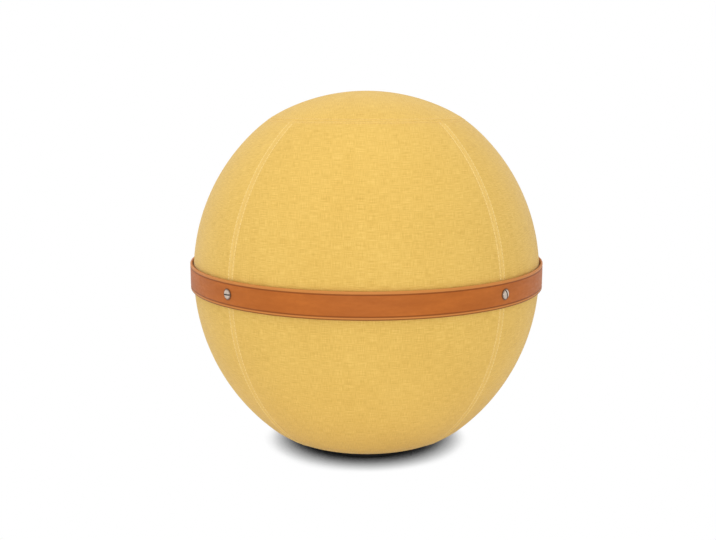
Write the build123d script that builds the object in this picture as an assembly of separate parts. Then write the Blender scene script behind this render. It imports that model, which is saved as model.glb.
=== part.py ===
from build123d import *
from math import acos, asin, atan2, cos, degrees, floor, hypot, radians, sin, sqrt
import os

# A sitting ball: an air bladder in a sewn cover, with a belt round its equator and a weighted base.
# Millimetres. The origin is on the floor under the ball's middle, +Z is up and the front is -Y.

# Cover outline
ball_radius = 275.0
cover_thickness = 2.4
cap_seam_radius = 151.0
cap_seam_rise = 246.0  # above the equator
cap_crown = 41.5  # top of the ball above the cap seam
knee_radius = 165.0  # where the side turns in under the ball
knee_drop = 240.5  # below the equator
under_radius = 115.0  # bend of the fabric from the knee to the hem
hem_radius = 92.0
seam_groove_width = 3.0
seam_groove_depth = 1.0

# Tapes inside the seams
seam_tape_width = 14.0
seam_tape_thickness = 1.2

# Fits
fit_gap = 0.3  # beside soft or curved pieces
snug_gap = 0.1  # between pieces that seat on each other
pin_gap = 0.05  # round a pin, post or plug in its hole

# Base
base_height = 14.0  # floor to the hem
sole_wall = 2.6
sole_edge_round = 4.0
tread_groove_width = 2.0
tread_groove_depth = 0.8
tread_inner_radius = 36.0
tread_pitch = 14.0
binding_width = 6.0
binding_lap = 1.0  # how far the binding shows below the hem
ballast_thickness = 24.0
ballast_swell = 17.0  # how far the bag spreads over the cover inside the hem
ballast_edge_round = 5.0
pocket_thickness = 1.2

# Bladder and its valve
bladder_wall = 1.2
bladder_foot_round = 14.0
valve_seam_angle = 24.0  # degrees round the ball from the zip
valve_drop = 150.0  # along the side below the equator
valve_boss_radius = 11.0
valve_boss_depth = 18.0
plug_head_radius = 8.0
plug_head_thickness = 1.6
plug_stem_radius = 4.0
plug_stem_length = 13.0

# Belt
belt_width = 40.0
belt_rise = 3.0  # middle of the belt above the equator
strap_thickness = 3.0
lining_thickness = 1.4
lining_inset = 0.8
strap_edge_ease = 0.7
strap_tip_round = 14.0
crease_width = 1.0
crease_depth = 0.4
crease_inset = 4.0  # from the strap's edge
overlap_length = 72.0
overlap_ramp_length = 70.0

# Belt screws, one at each seam
screw_head_radius = 7.75
screw_head_height = 3.6
screw_slot_width = 1.8
screw_slot_depth = 2.6
screw_shank_radius = 1.5
post_radius = 2.6
post_flange_radius = 6.5
post_flange_thickness = 1.2
patch_radius = 9.0
patch_thickness = 1.2
slot_turns = {"front_right": 15.0, "back_right": 75.0, "back_left": 115.0, "front_left": 90.0}

# Zip in the back right seam
zip_gap_below_belt = 14.0
zip_length = 200.0
zip_tape_width = 10.0
zip_tape_thickness = 0.8
zip_tape_margin = 5.0  # tape past each end of the chain
tooth_pitch = 3.2
tooth_width = 1.4
tooth_thickness = 2.6
tooth_reach = 1.1  # past the middle of the chain
chain_half_width = 3.4
spine_width = 0.8
slider_length = 13.0
slider_width = 9.2
slider_waist = 7.4  # width of its closed end
slider_plate = 1.2
slider_clearance = 0.4  # over the teeth
slider_flange = 0.7
slider_side_gap = 0.9  # to the fabric beside it
diamond_width = 2.0
diamond_length = 3.6
stop_length = 3.0
stop_thickness = 1.4
crown_thickness = 2.0
crown_length = 6.4
pull_pin_radius = 1.1
pull_pin_rise = 3.1  # over the slider's outer plate
crown_cover = 1.4  # metal round the pin's hole
pull_arm = 1.2
pull_length = 30.0
pull_width = 8.0
pull_thickness = 1.5
pull_hole_radius = 2.0

seam_angles = {"front_right": 315.0, "back_right": 45.0, "back_left": 135.0, "front_left": 225.0}
zip_seam = "back_right"
overlap_seam = "back_left"


class ProfileArc:
    """One circular arc of the ball's outline, in the plane through the ball's axis."""

    def __init__(self, centre_r, centre_z, radius):
        self.centre_r = centre_r
        self.centre_z = centre_z
        self.radius = radius
        self.axis = Axis((centre_r, 0, centre_z), (0, 1, 0))

    def point(self, angle, inset=0.0):
        reach = self.radius - inset
        return Vector(self.centre_r + reach * cos(angle), 0, self.centre_z + reach * sin(angle))

    def edge(self, first, last, inset=0.0):
        middle = (first + last) / 2
        return ThreePointArc(self.point(first, inset), self.point(middle, inset), self.point(last, inset))

    def turned(self, shape, angle):
        """Carry a shape drawn level with the arc's centre to an angle along the arc."""
        return shape.rotate(self.axis, -degrees(angle))

    def swept(self, first, last, inset, thickness, side_from, side_to):
        """A strip along the arc: its outer face is inset, and it spans side_from to side_to across."""
        outer = self.centre_r + self.radius - inset
        middle = Vector(outer - thickness / 2, (side_from + side_to) / 2, self.centre_z)
        section = Pos(middle) * Rectangle(thickness, abs(side_to - side_from))
        strip = revolve(section, self.axis, degrees(first - last))
        return self.turned(strip, first)


def side_centre(end_radius, end_height):
    """Centre of the arc that leaves the equator upright and passes through the given end."""
    return (ball_radius**2 - end_radius**2 - end_height**2) / (2 * (ball_radius - end_radius))


# The outline, from the hem up to the crown
lower_centre = side_centre(knee_radius, knee_drop)
knee_angle = -atan2(knee_drop, knee_radius - lower_centre)
under_centre = knee_radius - under_radius * cos(knee_angle)
under_centre_drop = knee_drop + under_radius * sin(knee_angle)
hem_angle = -acos((hem_radius - under_centre) / under_radius)
hem_drop = under_centre_drop - under_radius * sin(hem_angle)
equator_height = base_height + hem_drop

upper_centre = side_centre(cap_seam_radius, cap_seam_rise)
upper = ProfileArc(upper_centre, equator_height, ball_radius - upper_centre)
lower = ProfileArc(lower_centre, equator_height, ball_radius - lower_centre)
under = ProfileArc(under_centre, equator_height - under_centre_drop, under_radius)
cap_radius = (cap_seam_radius**2 + cap_crown**2) / (2 * cap_crown)
cap = ProfileArc(0, equator_height + cap_seam_rise + cap_crown - cap_radius, cap_radius)


def angle_on(arc, point):
    return atan2(point.Z - arc.centre_z, point.X - arc.centre_r)


def cap_seam_point(inset):
    """Where the cap and the side meet, at a depth below the outer face of the cover."""
    outer_seam = Vector(cap_seam_radius, 0, equator_height + cap_seam_rise)
    cap_reach = cap.radius - inset
    side_reach = upper.radius - inset
    across = upper.centre_r - cap.centre_r
    along = upper.centre_z - cap.centre_z
    apart = hypot(across, along)
    foot = (cap_reach**2 - side_reach**2 + apart**2) / (2 * apart)
    rise = sqrt(cap_reach**2 - foot**2)
    ends = []
    for sign in (1, -1):
        r = cap.centre_r + (foot * across - sign * rise * along) / apart
        z = cap.centre_z + (foot * along + sign * rise * across) / apart
        ends.append(Vector(r, 0, z))
    return min(ends, key=lambda end: (end - outer_seam).length)


upper_end = angle_on(upper, cap_seam_point(0))


def side_edges(inset):
    """The side of the outline, from the cap seam down to the hem."""
    seam = cap_seam_point(inset)
    return [
        upper.edge(angle_on(upper, seam), 0, inset),
        lower.edge(0, knee_angle, inset),
        under.edge(knee_angle, hem_angle, inset),
    ]


def cap_edge(inset):
    return cap.edge(angle_on(cap, cap_seam_point(inset)), radians(90), inset)


def height_angle(arc, height, inset):
    """The angle at which an arc of the outline, at a depth, reaches a height."""
    return asin((height - arc.centre_z) / (arc.radius - inset))


def rising_edges(inset, bottom, top):
    """The outline between two heights below the equator, from the lower one up."""
    knee = lower.point(knee_angle, inset).Z
    edges = []
    if bottom < knee:
        first = height_angle(under, bottom, inset)
        edges.append(under.edge(first, height_angle(under, min(top, knee), inset), inset))
    if top > knee:
        first = height_angle(lower, max(bottom, knee), inset)
        edges.append(lower.edge(first, height_angle(lower, top, inset), inset))
    return edges


def turned_solid(edges):
    """A solid of revolution from a rising line of edges, closed at the ball's axis."""
    start = edges[0] @ 0
    end = edges[-1] @ 1
    foot = Vector(0, 0, start.Z)
    head = Vector(0, 0, end.Z)
    closing = [Line(foot, start), Line(head, foot)]
    if end.X > snug_gap:
        closing.append(Line(end, head))
    return revolve(make_face(edges + closing), Axis.Z, 360)


def ball_solid(inset, bottom, foot_round):
    """The inside of the cover at a depth, above a flat foot with a rounded edge."""
    seam = cap_seam_point(inset)
    side = rising_edges(inset, bottom, equator_height)
    side.append(upper.edge(0, angle_on(upper, seam), inset))
    side.append(cap.edge(angle_on(cap, seam), radians(90), inset))
    solid = turned_solid(side)
    foot_rim = solid.edges().filter_by(GeomType.CIRCLE).group_by(Axis.Z)[0]
    return fillet(foot_rim, foot_round)


def ring(inner, outer, bottom, top):
    """A plain upright ring about the ball's axis."""
    corners = [(inner, 0, bottom), (outer, 0, bottom), (outer, 0, top), (inner, 0, top)]
    return revolve(make_face(Polyline(*corners, close=True)), Axis.Z, 360)


def outward_cylinder(radius, start, end, height):
    """A cylinder along +X between two distances from the ball's axis, at a height."""
    return Pos((start + end) / 2, 0, height) * Rot(0, 90, 0) * Cylinder(radius, end - start)


def about_ball(shape, angle):
    return Rot(0, 0, angle) * shape


# Depths below the outer face of the cover
zip_seam_angle = seam_angles[zip_seam]
belt_height = equator_height + belt_rise
belt_bottom = belt_height - belt_width / 2
belt_top = belt_height + belt_width / 2
zip_first = -(belt_width / 2 - belt_rise + zip_gap_below_belt) / lower.radius
zip_last = zip_first - zip_length / lower.radius
zip_edge = chain_half_width + zip_tape_width
zip_low_radius = lower.point(zip_last).X
zip_tape_depth = cover_thickness + snug_gap + zip_edge**2 / (2 * zip_low_radius)
chain_depth = zip_tape_depth + zip_tape_thickness / 2
seam_tape_depth = cover_thickness + 2 * snug_gap
inner_layers = max(zip_tape_depth + zip_tape_thickness, seam_tape_depth + seam_tape_thickness)
bladder_depth = inner_layers + fit_gap

# Slider
slider_inner_gap = tooth_thickness / 2 + slider_clearance
slider_outer_depth = chain_depth - slider_inner_gap - slider_plate
slider_inner_depth = chain_depth + slider_inner_gap
slider_lowest_depth = slider_inner_depth + slider_plate
slider_half_angle = slider_length / 2 / lower.radius
stop_angle = stop_length / lower.radius
slider_angle = zip_last + stop_angle + slider_half_angle + snug_gap / lower.radius
slot_half_width = slider_width / 2 + slider_side_gap
diamond_angle = slider_angle - slider_half_angle + (diamond_length / 2) / lower.radius
last_tooth_angle = diamond_angle + (diamond_length / 2 + fit_gap + tooth_width) / lower.radius
pin_depth = slider_outer_depth - pull_pin_rise

# Belt
lining_inner = ball_radius + fit_gap
lining_outer = lining_inner + lining_thickness
strap_inner = lining_outer + snug_gap
strap_outer = strap_inner + strap_thickness
overlap_rise = strap_thickness + 2 * snug_gap
overlap_half_angle = degrees(overlap_length / 2 / strap_outer)
overlap_ramp_angle = degrees(overlap_ramp_length / strap_outer)
strap_start = seam_angles[overlap_seam] - overlap_half_angle

# Belt posts
patch_outer = ball_radius - seam_tape_depth - seam_tape_thickness - fit_gap
patch_inner = patch_outer - patch_thickness
flange_outer = patch_inner - snug_gap
flange_inner = flange_outer - post_flange_thickness
post_hole_radius = post_radius + snug_gap
dent_floor = flange_inner - fit_gap


def strap_face(seam):
    """Distance from the ball's axis to the outer face of the strap at a seam."""
    if seam == overlap_seam:
        return strap_outer + overlap_rise
    return strap_outer


def post_holes():
    """Cutters through the cover and the belt, one at each seam."""
    hole = outward_cylinder(post_hole_radius, flange_inner, strap_outer + 2 * overlap_rise, belt_height)
    return [about_ball(hole, angle) for angle in seam_angles.values()]


def seam_groove(arc, first, last):
    """The valley along a seam, on one arc of the outline."""
    radius = (seam_groove_width**2 / 4 + seam_groove_depth**2) / (2 * seam_groove_depth)
    lift = radius - seam_groove_depth
    section = Pos(arc.centre_r + arc.radius + lift, 0, arc.centre_z) * Circle(radius)
    return arc.turned(revolve(section, arc.axis, degrees(first - last)), first)


def cap_groove():
    radius = (seam_groove_width**2 / 4 + seam_groove_depth**2) / (2 * seam_groove_depth)
    middle = upper.point(upper_end, seam_groove_depth - radius)
    return revolve(Pos(middle) * Rot(90, 0, 0) * Circle(radius), Axis.Z, 360)


def zip_window():
    """The opening that the slider runs in, cut through the cover beside the zip."""
    past_end = stop_angle
    window = lower.swept(
        zip_first + past_end,
        zip_last - past_end,
        -cover_thickness,
        3 * cover_thickness,
        -slot_half_width,
        slot_half_width,
    )
    return about_ball(window, zip_seam_angle)


def cover_top_cap():
    seam_outer = cap_seam_point(0)
    seam_inner = cap_seam_point(cover_thickness)
    crown_outer = cap.point(radians(90))
    crown_inner = cap.point(radians(90), cover_thickness)
    inner_edge = cap_edge(cover_thickness)
    edges = [cap_edge(0), Line(crown_outer, crown_inner), inner_edge, Line(seam_inner, seam_outer)]
    return revolve(make_face(edges), Axis.Z, 360) - cap_groove()


def cover_panel():
    """One quarter of the side of the cover, centred on +X."""
    seam_outer = cap_seam_point(0)
    seam_inner = cap_seam_point(cover_thickness)
    hem_outer = under.point(hem_angle)
    hem_inner = under.point(hem_angle, cover_thickness)
    edges = side_edges(0) + side_edges(cover_thickness)
    edges += [Line(seam_outer, seam_inner), Line(hem_outer, hem_inner)]
    panel = about_ball(revolve(make_face(edges), Axis.Z, 90), -45)
    cutters = [cap_groove()]
    for angle in (-45, 45):
        cutters.append(about_ball(seam_groove(upper, upper_end, 0), angle))
        cutters.append(about_ball(seam_groove(lower, 0, knee_angle), angle))
        cutters.append(about_ball(seam_groove(under, knee_angle, hem_angle), angle))
    return panel - cutters


def seam_tape(seam):
    """The tape sewn inside an upright seam, which stops at the zip or above the ballast."""
    half = seam_tape_width / 2
    cap_clear = (seam_tape_width + fit_gap) / upper.radius
    top = upper.swept(upper_end - cap_clear, 0, seam_tape_depth, seam_tape_thickness, -half, half)
    end = knee_angle + seam_tape_width / lower.radius
    if seam == zip_seam:
        end = zip_first + (fit_gap + zip_tape_margin) / lower.radius
    bottom = lower.swept(0, end, seam_tape_depth, seam_tape_thickness, -half, half)
    return about_ball(top + bottom, seam_angles[seam]) - post_holes()


def cap_seam_tape():
    """The tape ring inside the cap seam."""
    half_angle = seam_tape_width / 2
    seam = cap_seam_point(seam_tape_depth)
    cap_angle = angle_on(cap, seam) + half_angle / cap.radius
    side_angle = angle_on(upper, seam) - half_angle / upper.radius
    deep = seam_tape_depth + seam_tape_thickness
    deep_seam = cap_seam_point(deep)
    edges = [
        cap.edge(cap_angle, angle_on(cap, seam), seam_tape_depth),
        upper.edge(angle_on(upper, seam), side_angle, seam_tape_depth),
        Line(upper.point(side_angle, seam_tape_depth), upper.point(side_angle, deep)),
        upper.edge(side_angle, angle_on(upper, deep_seam), deep),
        cap.edge(angle_on(cap, deep_seam), cap_angle, deep),
        Line(cap.point(cap_angle, deep), cap.point(cap_angle, seam_tape_depth)),
    ]
    return revolve(make_face(edges), Axis.Z, 360)


# Base, from the floor up
sole_radius = under.point(hem_angle, cover_thickness).X - snug_gap
binding_bottom = base_height - binding_lap
binding_top = under.point(hem_angle, cover_thickness).Z + snug_gap
sole_top = binding_bottom - snug_gap
ballast_bottom = sole_wall + snug_gap
ballast_top = ballast_bottom + ballast_thickness
pocket_bottom = ballast_top + fit_gap
bladder_bottom = pocket_bottom + pocket_thickness + fit_gap


def base_sole():
    """A shallow rubber tray with grooves in its tread."""
    inner = sole_radius - sole_wall
    corner = sole_radius - sole_edge_round
    mid_turn = radians(-45)
    edges = [
        Line((0, 0, 0), (corner, 0, 0)),
        ThreePointArc(
            (corner, 0, 0),
            (corner + sole_edge_round * cos(mid_turn), 0, sole_edge_round * (1 + sin(mid_turn))),
            (sole_radius, 0, sole_edge_round),
        ),
        Line((sole_radius, 0, sole_edge_round), (sole_radius, 0, sole_top)),
        Line((sole_radius, 0, sole_top), (inner, 0, sole_top)),
        Line((inner, 0, sole_top), (inner, 0, sole_wall)),
        Line((inner, 0, sole_wall), (0, 0, sole_wall)),
        Line((0, 0, sole_wall), (0, 0, 0)),
    ]
    sole = revolve(make_face(edges), Axis.Z, 360)
    count = floor((corner - tread_groove_width - tread_inner_radius) / tread_pitch) + 1
    for index in range(count):
        start = tread_inner_radius + index * tread_pitch
        sole -= ring(start, start + tread_groove_width, -tread_groove_depth, tread_groove_depth)
    return sole


def base_binding():
    """The tape that joins the hem of the cover to the rim of the sole."""
    return ring(sole_radius - binding_width, sole_radius, binding_bottom, binding_top)


def ballast_bag():
    """A sand bag that fills the sole and swells over the hem on the inside of the cover."""
    neck_radius = sole_radius - binding_width - fit_gap
    well_radius = min(neck_radius, sole_radius - sole_wall - fit_gap)
    inset = cover_thickness + fit_gap
    first = height_angle(under, binding_top + fit_gap, inset)
    shoulder = under.point(first, inset)
    ballast_radius = shoulder.X + ballast_swell
    last = -acos((ballast_radius - under.centre_r) / (under.radius - inset))
    waist = under.point(last, inset)
    rounding = radians(45)
    rim = ballast_radius - ballast_edge_round
    rim_height = ballast_top - ballast_edge_round
    rim_middle_radius = rim + ballast_edge_round * cos(rounding)
    rim_middle_height = rim_height + ballast_edge_round * sin(rounding)
    edges = [
        Line((0, 0, ballast_bottom), (well_radius, 0, ballast_bottom)),
        Line((well_radius, 0, ballast_bottom), (well_radius, 0, shoulder.Z)),
        Line((well_radius, 0, shoulder.Z), shoulder),
        under.edge(first, last, inset),
        Line(waist, (ballast_radius, 0, rim_height)),
        ThreePointArc(
            (ballast_radius, 0, rim_height),
            (rim_middle_radius, 0, rim_middle_height),
            (rim, 0, ballast_top),
        ),
        Line((rim, 0, ballast_top), (0, 0, ballast_top)),
        Line((0, 0, ballast_top), (0, 0, ballast_bottom)),
    ]
    return revolve(make_face(edges), Axis.Z, 360)


def ballast_pocket():
    """The cloth sewn across the foot of the cover over the ballast."""
    pocket_top = pocket_bottom + pocket_thickness
    return turned_solid(rising_edges(cover_thickness + fit_gap, pocket_bottom, pocket_top))


# Bladder valve
valve_angle = -valve_drop / lower.radius
valve_turn = zip_seam_angle + valve_seam_angle
plug_head_dip = plug_head_radius**2 / (2 * lower.point(valve_angle).X)
valve_seat_depth = bladder_depth + plug_head_thickness + plug_head_dip


def along_valve(radius, start_depth, end_depth):
    """A cylinder along the valve's line, between two depths below the outer face of the cover."""
    outer = lower.centre_r + lower.radius
    rod = Pos(lower.centre_r, 0, 0) * outward_cylinder(
        radius, outer - end_depth - lower.centre_r, outer - start_depth - lower.centre_r, equator_height
    )
    return about_ball(lower.turned(rod, valve_angle), valve_turn)


def bladder_dents(grow):
    """Where belt posts and the zip slider press into the bladder, grown by the wall for its inside."""
    dent = outward_cylinder(patch_radius + fit_gap + grow, dent_floor - grow, ball_radius, belt_height)
    dents = [about_ball(dent, angle) for angle in seam_angles.values()]
    groove_depth = slider_lowest_depth + fit_gap + grow
    margin = (zip_tape_margin + grow) / lower.radius
    groove = lower.swept(
        zip_first + margin,
        zip_last - margin,
        0,
        groove_depth,
        -slot_half_width - grow,
        slot_half_width + grow,
    )
    return dents + [about_ball(groove, zip_seam_angle)]


def air_bladder():
    """The inflated bladder: a thin wall with a boss for its valve, flat where it stands on the pocket."""
    outside = ball_solid(bladder_depth, bladder_bottom, bladder_foot_round)
    inner_depth = bladder_depth + bladder_wall
    inside = ball_solid(inner_depth, bladder_bottom + bladder_wall, bladder_foot_round - bladder_wall)
    boss = along_valve(valve_boss_radius, 0, bladder_depth + valve_boss_depth)
    wall = (outside - bladder_dents(0)) - (inside - bladder_dents(bladder_wall) - boss)
    seat = along_valve(plug_head_radius + snug_gap, 0, valve_seat_depth)
    bore = along_valve(plug_stem_radius + pin_gap, 0, bladder_depth + 2 * valve_boss_depth)
    return wall - seat - bore


def valve_plug():
    head = along_valve(plug_head_radius, valve_seat_depth - plug_head_thickness, valve_seat_depth)
    stem = along_valve(plug_stem_radius, valve_seat_depth, valve_seat_depth + plug_stem_length)
    return head + stem


def at_angle(radius, angle):
    return Vector(radius * cos(radians(angle)), radius * sin(radians(angle)), 0)


def heading(angle):
    """Direction of travel round the ball at an angle."""
    return Vector(-sin(radians(angle)), cos(radians(angle)), 0)


def strap_line(radius):
    """One face of the strap seen from above: round the ball, straight up a ramp and over its own start."""
    ramp_start = strap_start + 360 - overlap_ramp_angle
    top_start = strap_start + 360
    top_middle = top_start + overlap_half_angle
    top_end = top_middle + overlap_half_angle
    high = radius + overlap_rise
    slant = cos(radians(overlap_ramp_angle))
    bend = (radius - high * slant) / (1 - slant)
    foot = at_angle(radius, ramp_start)
    head = at_angle(high, top_start)
    bend_centre = at_angle(high - bend, top_start)
    ramp = heading(ramp_start)
    bend_start = foot + ramp * (bend_centre - foot).dot(ramp)
    bend_middle = bend_centre + ((bend_start + head) / 2 - bend_centre).normalized() * bend
    turn = (strap_start + ramp_start) / 2
    return [
        ThreePointArc(at_angle(radius, strap_start), at_angle(radius, turn), foot),
        Line(foot, bend_start),
        ThreePointArc(bend_start, bend_middle, head),
        ThreePointArc(head, at_angle(high, top_middle), at_angle(high, top_end)),
    ]


def strap_band(inner, outer, bottom, top):
    """The strap's coil between two faces and two heights."""
    ends = []
    for lift, angle in ((0, strap_start), (overlap_rise, strap_start + 2 * overlap_half_angle)):
        ends.append(Line(at_angle(inner + lift, angle), at_angle(outer + lift, angle)))
    plan = make_face(strap_line(inner) + strap_line(outer) + ends)
    return extrude(Pos(0, 0, bottom) * plan, top - bottom)


def belt_strap():
    """One strap with eased edges and two pressed creases, lapped over itself at a rear seam."""
    strap = strap_band(strap_inner, strap_outer, belt_bottom, belt_top)
    tip_end = strap_start + 2 * overlap_half_angle
    tip = at_angle(strap_outer + overlap_rise, tip_end) + Vector(0, 0, belt_height)
    short_edges = strap.edges().filter_by(lambda edge: edge.length < 2 * strap_thickness)
    strap = fillet(short_edges.sort_by_distance(tip)[:2], strap_tip_round)
    flat_edges = strap.edges().filter_by(lambda edge: edge.length > 2 * strap_thickness)
    strap = chamfer(flat_edges.group_by(Axis.Z)[0] + flat_edges.group_by(Axis.Z)[-1], strap_edge_ease)
    for bottom in (belt_bottom + crease_inset, belt_top - crease_inset - crease_width):
        top = bottom + crease_width
        strap -= strap_band(strap_outer - crease_depth, strap_outer + snug_gap, bottom, top)
    return strap - post_holes()


def belt_lining():
    """A thin ring of suede between the strap and the cover."""
    band = ring(lining_inner, lining_outer, belt_bottom + lining_inset, belt_top - lining_inset)
    return band - post_holes()


def spun(edges):
    """A solid turned about the outward line at the middle of the belt, from edges drawn above it."""
    section = Pos(0, 0, belt_height) * make_face(edges)
    return revolve(section, Axis((0, 0, belt_height), (1, 0, 0)), 360)


def belt_screw(seam):
    """A domed slotted head on a short shank, turned along +X and then set at its seam."""
    seat = strap_face(seam) + snug_gap
    top = seat + screw_head_height
    shank_end = flange_outer + patch_thickness
    dome = (screw_head_radius**2 + screw_head_height**2) / (2 * screw_head_height)
    half_turn = asin(screw_head_radius / dome) / 2
    dome_middle = (top - dome + dome * cos(half_turn), 0, dome * sin(half_turn))
    rim = (seat, 0, screw_head_radius)
    shank = [
        (top, 0, 0),
        (shank_end, 0, 0),
        (shank_end, 0, screw_shank_radius),
        (seat, 0, screw_shank_radius),
        rim,
    ]
    screw = spun([ThreePointArc(rim, dome_middle, (top, 0, 0)), Polyline(*shank)])
    slot = Pos(top, 0, belt_height) * Box(2 * screw_slot_depth, 4 * screw_head_radius, screw_slot_width)
    screw -= slot.rotate(Axis((0, 0, belt_height), (1, 0, 0)), slot_turns[seam] - 90)
    return about_ball(screw, seam_angles[seam])


def belt_post(seam):
    """The flanged barrel behind the cover that a belt screw threads into."""
    end = strap_face(seam) - snug_gap
    bore_radius = screw_shank_radius + pin_gap
    corners = [
        (flange_inner, 0, 0),
        (flange_inner, 0, post_flange_radius),
        (flange_outer, 0, post_flange_radius),
        (flange_outer, 0, post_radius),
        (end, 0, post_radius),
        (end, 0, bore_radius),
        (flange_outer, 0, bore_radius),
        (flange_outer, 0, 0),
    ]
    return about_ball(spun([Polyline(*corners, close=True)]), seam_angles[seam])


def belt_patch(seam):
    patch = outward_cylinder(patch_radius, patch_inner, patch_outer, belt_height)
    hole = outward_cylinder(post_hole_radius, flange_inner, ball_radius, belt_height)
    return about_ball(patch - hole, seam_angles[seam])


def zip_tape(side):
    margin = zip_tape_margin / lower.radius
    tape = lower.swept(
        zip_first + margin,
        zip_last - margin,
        zip_tape_depth,
        zip_tape_thickness,
        side * chain_half_width,
        side * zip_edge,
    )
    return about_ball(tape, zip_seam_angle)


def zip_teeth(side):
    """One row of teeth on its spine, half a pitch from the other row."""
    spine = lower.swept(
        zip_first - stop_angle,
        last_tooth_angle - tooth_width / lower.radius,
        chain_depth - tooth_thickness / 2,
        tooth_thickness,
        side * (chain_half_width - spine_width),
        side * chain_half_width,
    )
    depth = chain_half_width - spine_width / 2 + tooth_reach
    reach = lower.centre_r + lower.radius - chain_depth
    block = Box(tooth_thickness, depth, tooth_width)
    middle = side * (chain_half_width - spine_width / 2 - depth / 2)
    pitch_angle = tooth_pitch / (lower.radius - chain_depth)
    first = zip_first - stop_angle - pitch_angle
    count = floor((first - last_tooth_angle) / pitch_angle)
    teeth = []
    for index in range(count):
        angle = first - pitch_angle * (index + 0.25 * (1 + side))
        teeth.append(lower.turned(Pos(reach, middle, lower.centre_z) * block, angle))
    return about_ball(spine + teeth, zip_seam_angle)


def zip_stops():
    """A bridge across the open end of the chain and a block beside each tape at its closed end."""
    outer = zip_tape_depth - stop_thickness
    reach = slider_width / 2
    bridge = lower.swept(zip_first, zip_first - stop_angle, outer, stop_thickness, -reach, reach)
    stops = [bridge]
    for side in (-1, 1):
        inner = side * (chain_half_width - spine_width)
        edge = side * reach
        stops.append(lower.swept(zip_last + stop_angle, zip_last, outer, stop_thickness, inner, edge))
    return [about_ball(stop, zip_seam_angle) for stop in stops]


def slider_outline():
    """The slider's plates seen from outside, wide at the mouth and drawn in at the closed end."""
    mouth = -slider_length / 2
    rear = slider_length / 2
    half = slider_width / 2
    waist = slider_waist / 2
    corners = [(-half, mouth), (half, mouth), (half, 0), (waist, rear), (-waist, rear), (-half, 0)]
    plan = make_face(Polyline(*corners, close=True))
    plan = fillet(plan.vertices(), slider_plate)
    reach = lower.centre_r + lower.radius
    block = extrude(Plane.YZ * plan, 2 * slider_lowest_depth, both=True)
    return Pos(reach, 0, lower.centre_z) * block


def zip_slider():
    """Two plates with turned-in flanges, the post between them and the crown that holds the pull."""
    end = slider_half_angle
    half = slider_width / 2
    tape_outer_gap = zip_tape_depth - fit_gap - (slider_outer_depth + slider_plate)
    tape_inner_gap = slider_inner_depth - (zip_tape_depth + zip_tape_thickness + fit_gap)
    body = lower.swept(end, -end, slider_outer_depth, slider_plate, -half, half)
    body += lower.swept(end, -end, slider_inner_depth, slider_plate, -half, half)
    for side in (-1, 1):
        inner = side * (half - slider_flange)
        edge = side * half
        body += lower.swept(end, -end, slider_outer_depth + slider_plate, tape_outer_gap, inner, edge)
        body += lower.swept(end, -end, slider_inner_depth - tape_inner_gap, tape_inner_gap, inner, edge)
    body = body & slider_outline()
    reach = lower.centre_r + lower.radius
    post_width = diamond_width / 2
    post_plan = make_face(
        Polyline(
            (-post_width, 0), (0, diamond_length / 2), (post_width, 0), (0, -diamond_length / 2), close=True
        )
    )
    post_height = slider_lowest_depth - slider_outer_depth - slider_plate
    post = extrude(Plane.YZ * post_plan, post_height)
    post_foot = reach - slider_lowest_depth + slider_plate / 2
    body += lower.turned(Pos(post_foot, 0, lower.centre_z) * post, diamond_angle - slider_angle)
    crown_top = pull_pin_radius + pin_gap + crown_cover
    crown_plan = make_face(
        [
            Line((-slider_plate / 2 - pull_pin_rise, crown_length / 2), (0, crown_top)),
            ThreePointArc((0, crown_top), (crown_top, 0), (0, -crown_top)),
            Line((0, -crown_top), (-slider_plate / 2 - pull_pin_rise, -crown_length / 2)),
            Line(
                (-slider_plate / 2 - pull_pin_rise, -crown_length / 2),
                (-slider_plate / 2 - pull_pin_rise, crown_length / 2),
            ),
        ]
    )
    crown_plan -= Circle(pull_pin_radius + pin_gap)
    crown = extrude(Plane.XZ * crown_plan, crown_thickness / 2, both=True)
    body += Pos(reach - pin_depth, 0, lower.centre_z) * crown
    return about_ball(lower.turned(body, slider_angle), zip_seam_angle)


def zip_pull():
    """A tab that hangs from a pin through the slider's crown."""
    pivot = lower.point(slider_angle, pin_depth)
    arm_inner = crown_thickness / 2 + fit_gap
    arm_outer = arm_inner + pull_arm
    arm_length = pull_pin_radius + crown_cover + pull_pin_rise + pull_arm
    pin = Rot(90, 0, 0) * Cylinder(pull_pin_radius, 2 * arm_outer)
    tab_top = pull_arm - arm_length
    tab_height = pull_length + tab_top
    tab_plan = Pos(0, tab_top - tab_height / 2) * RectangleRounded(pull_width, tab_height, pull_width / 4)
    tab_plan -= Pos(0, tab_top - tab_height + pull_width / 2) * Circle(pull_hole_radius)
    tab = extrude(Plane.YZ * tab_plan, pull_thickness / 2, both=True)
    pull = pin + tab
    for side in (-1, 1):
        arm = Box(pull_thickness, pull_arm, arm_length)
        pull += Pos(0, side * (arm_inner + arm_outer) / 2, -arm_length / 2) * arm
        eye = Rot(90, 0, 0) * Cylinder(pull_pin_radius + pull_arm / 2, pull_arm)
        pull += Pos(0, side * (arm_inner + arm_outer) / 2, 0) * eye
    return about_ball(Pos(pivot) * pull, zip_seam_angle)


def save(name, shape):
    export_step(shape, f"parts/{name}.step")


def grouped(shapes):
    return Compound([solid for shape in shapes for solid in shape.solids()])


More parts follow.
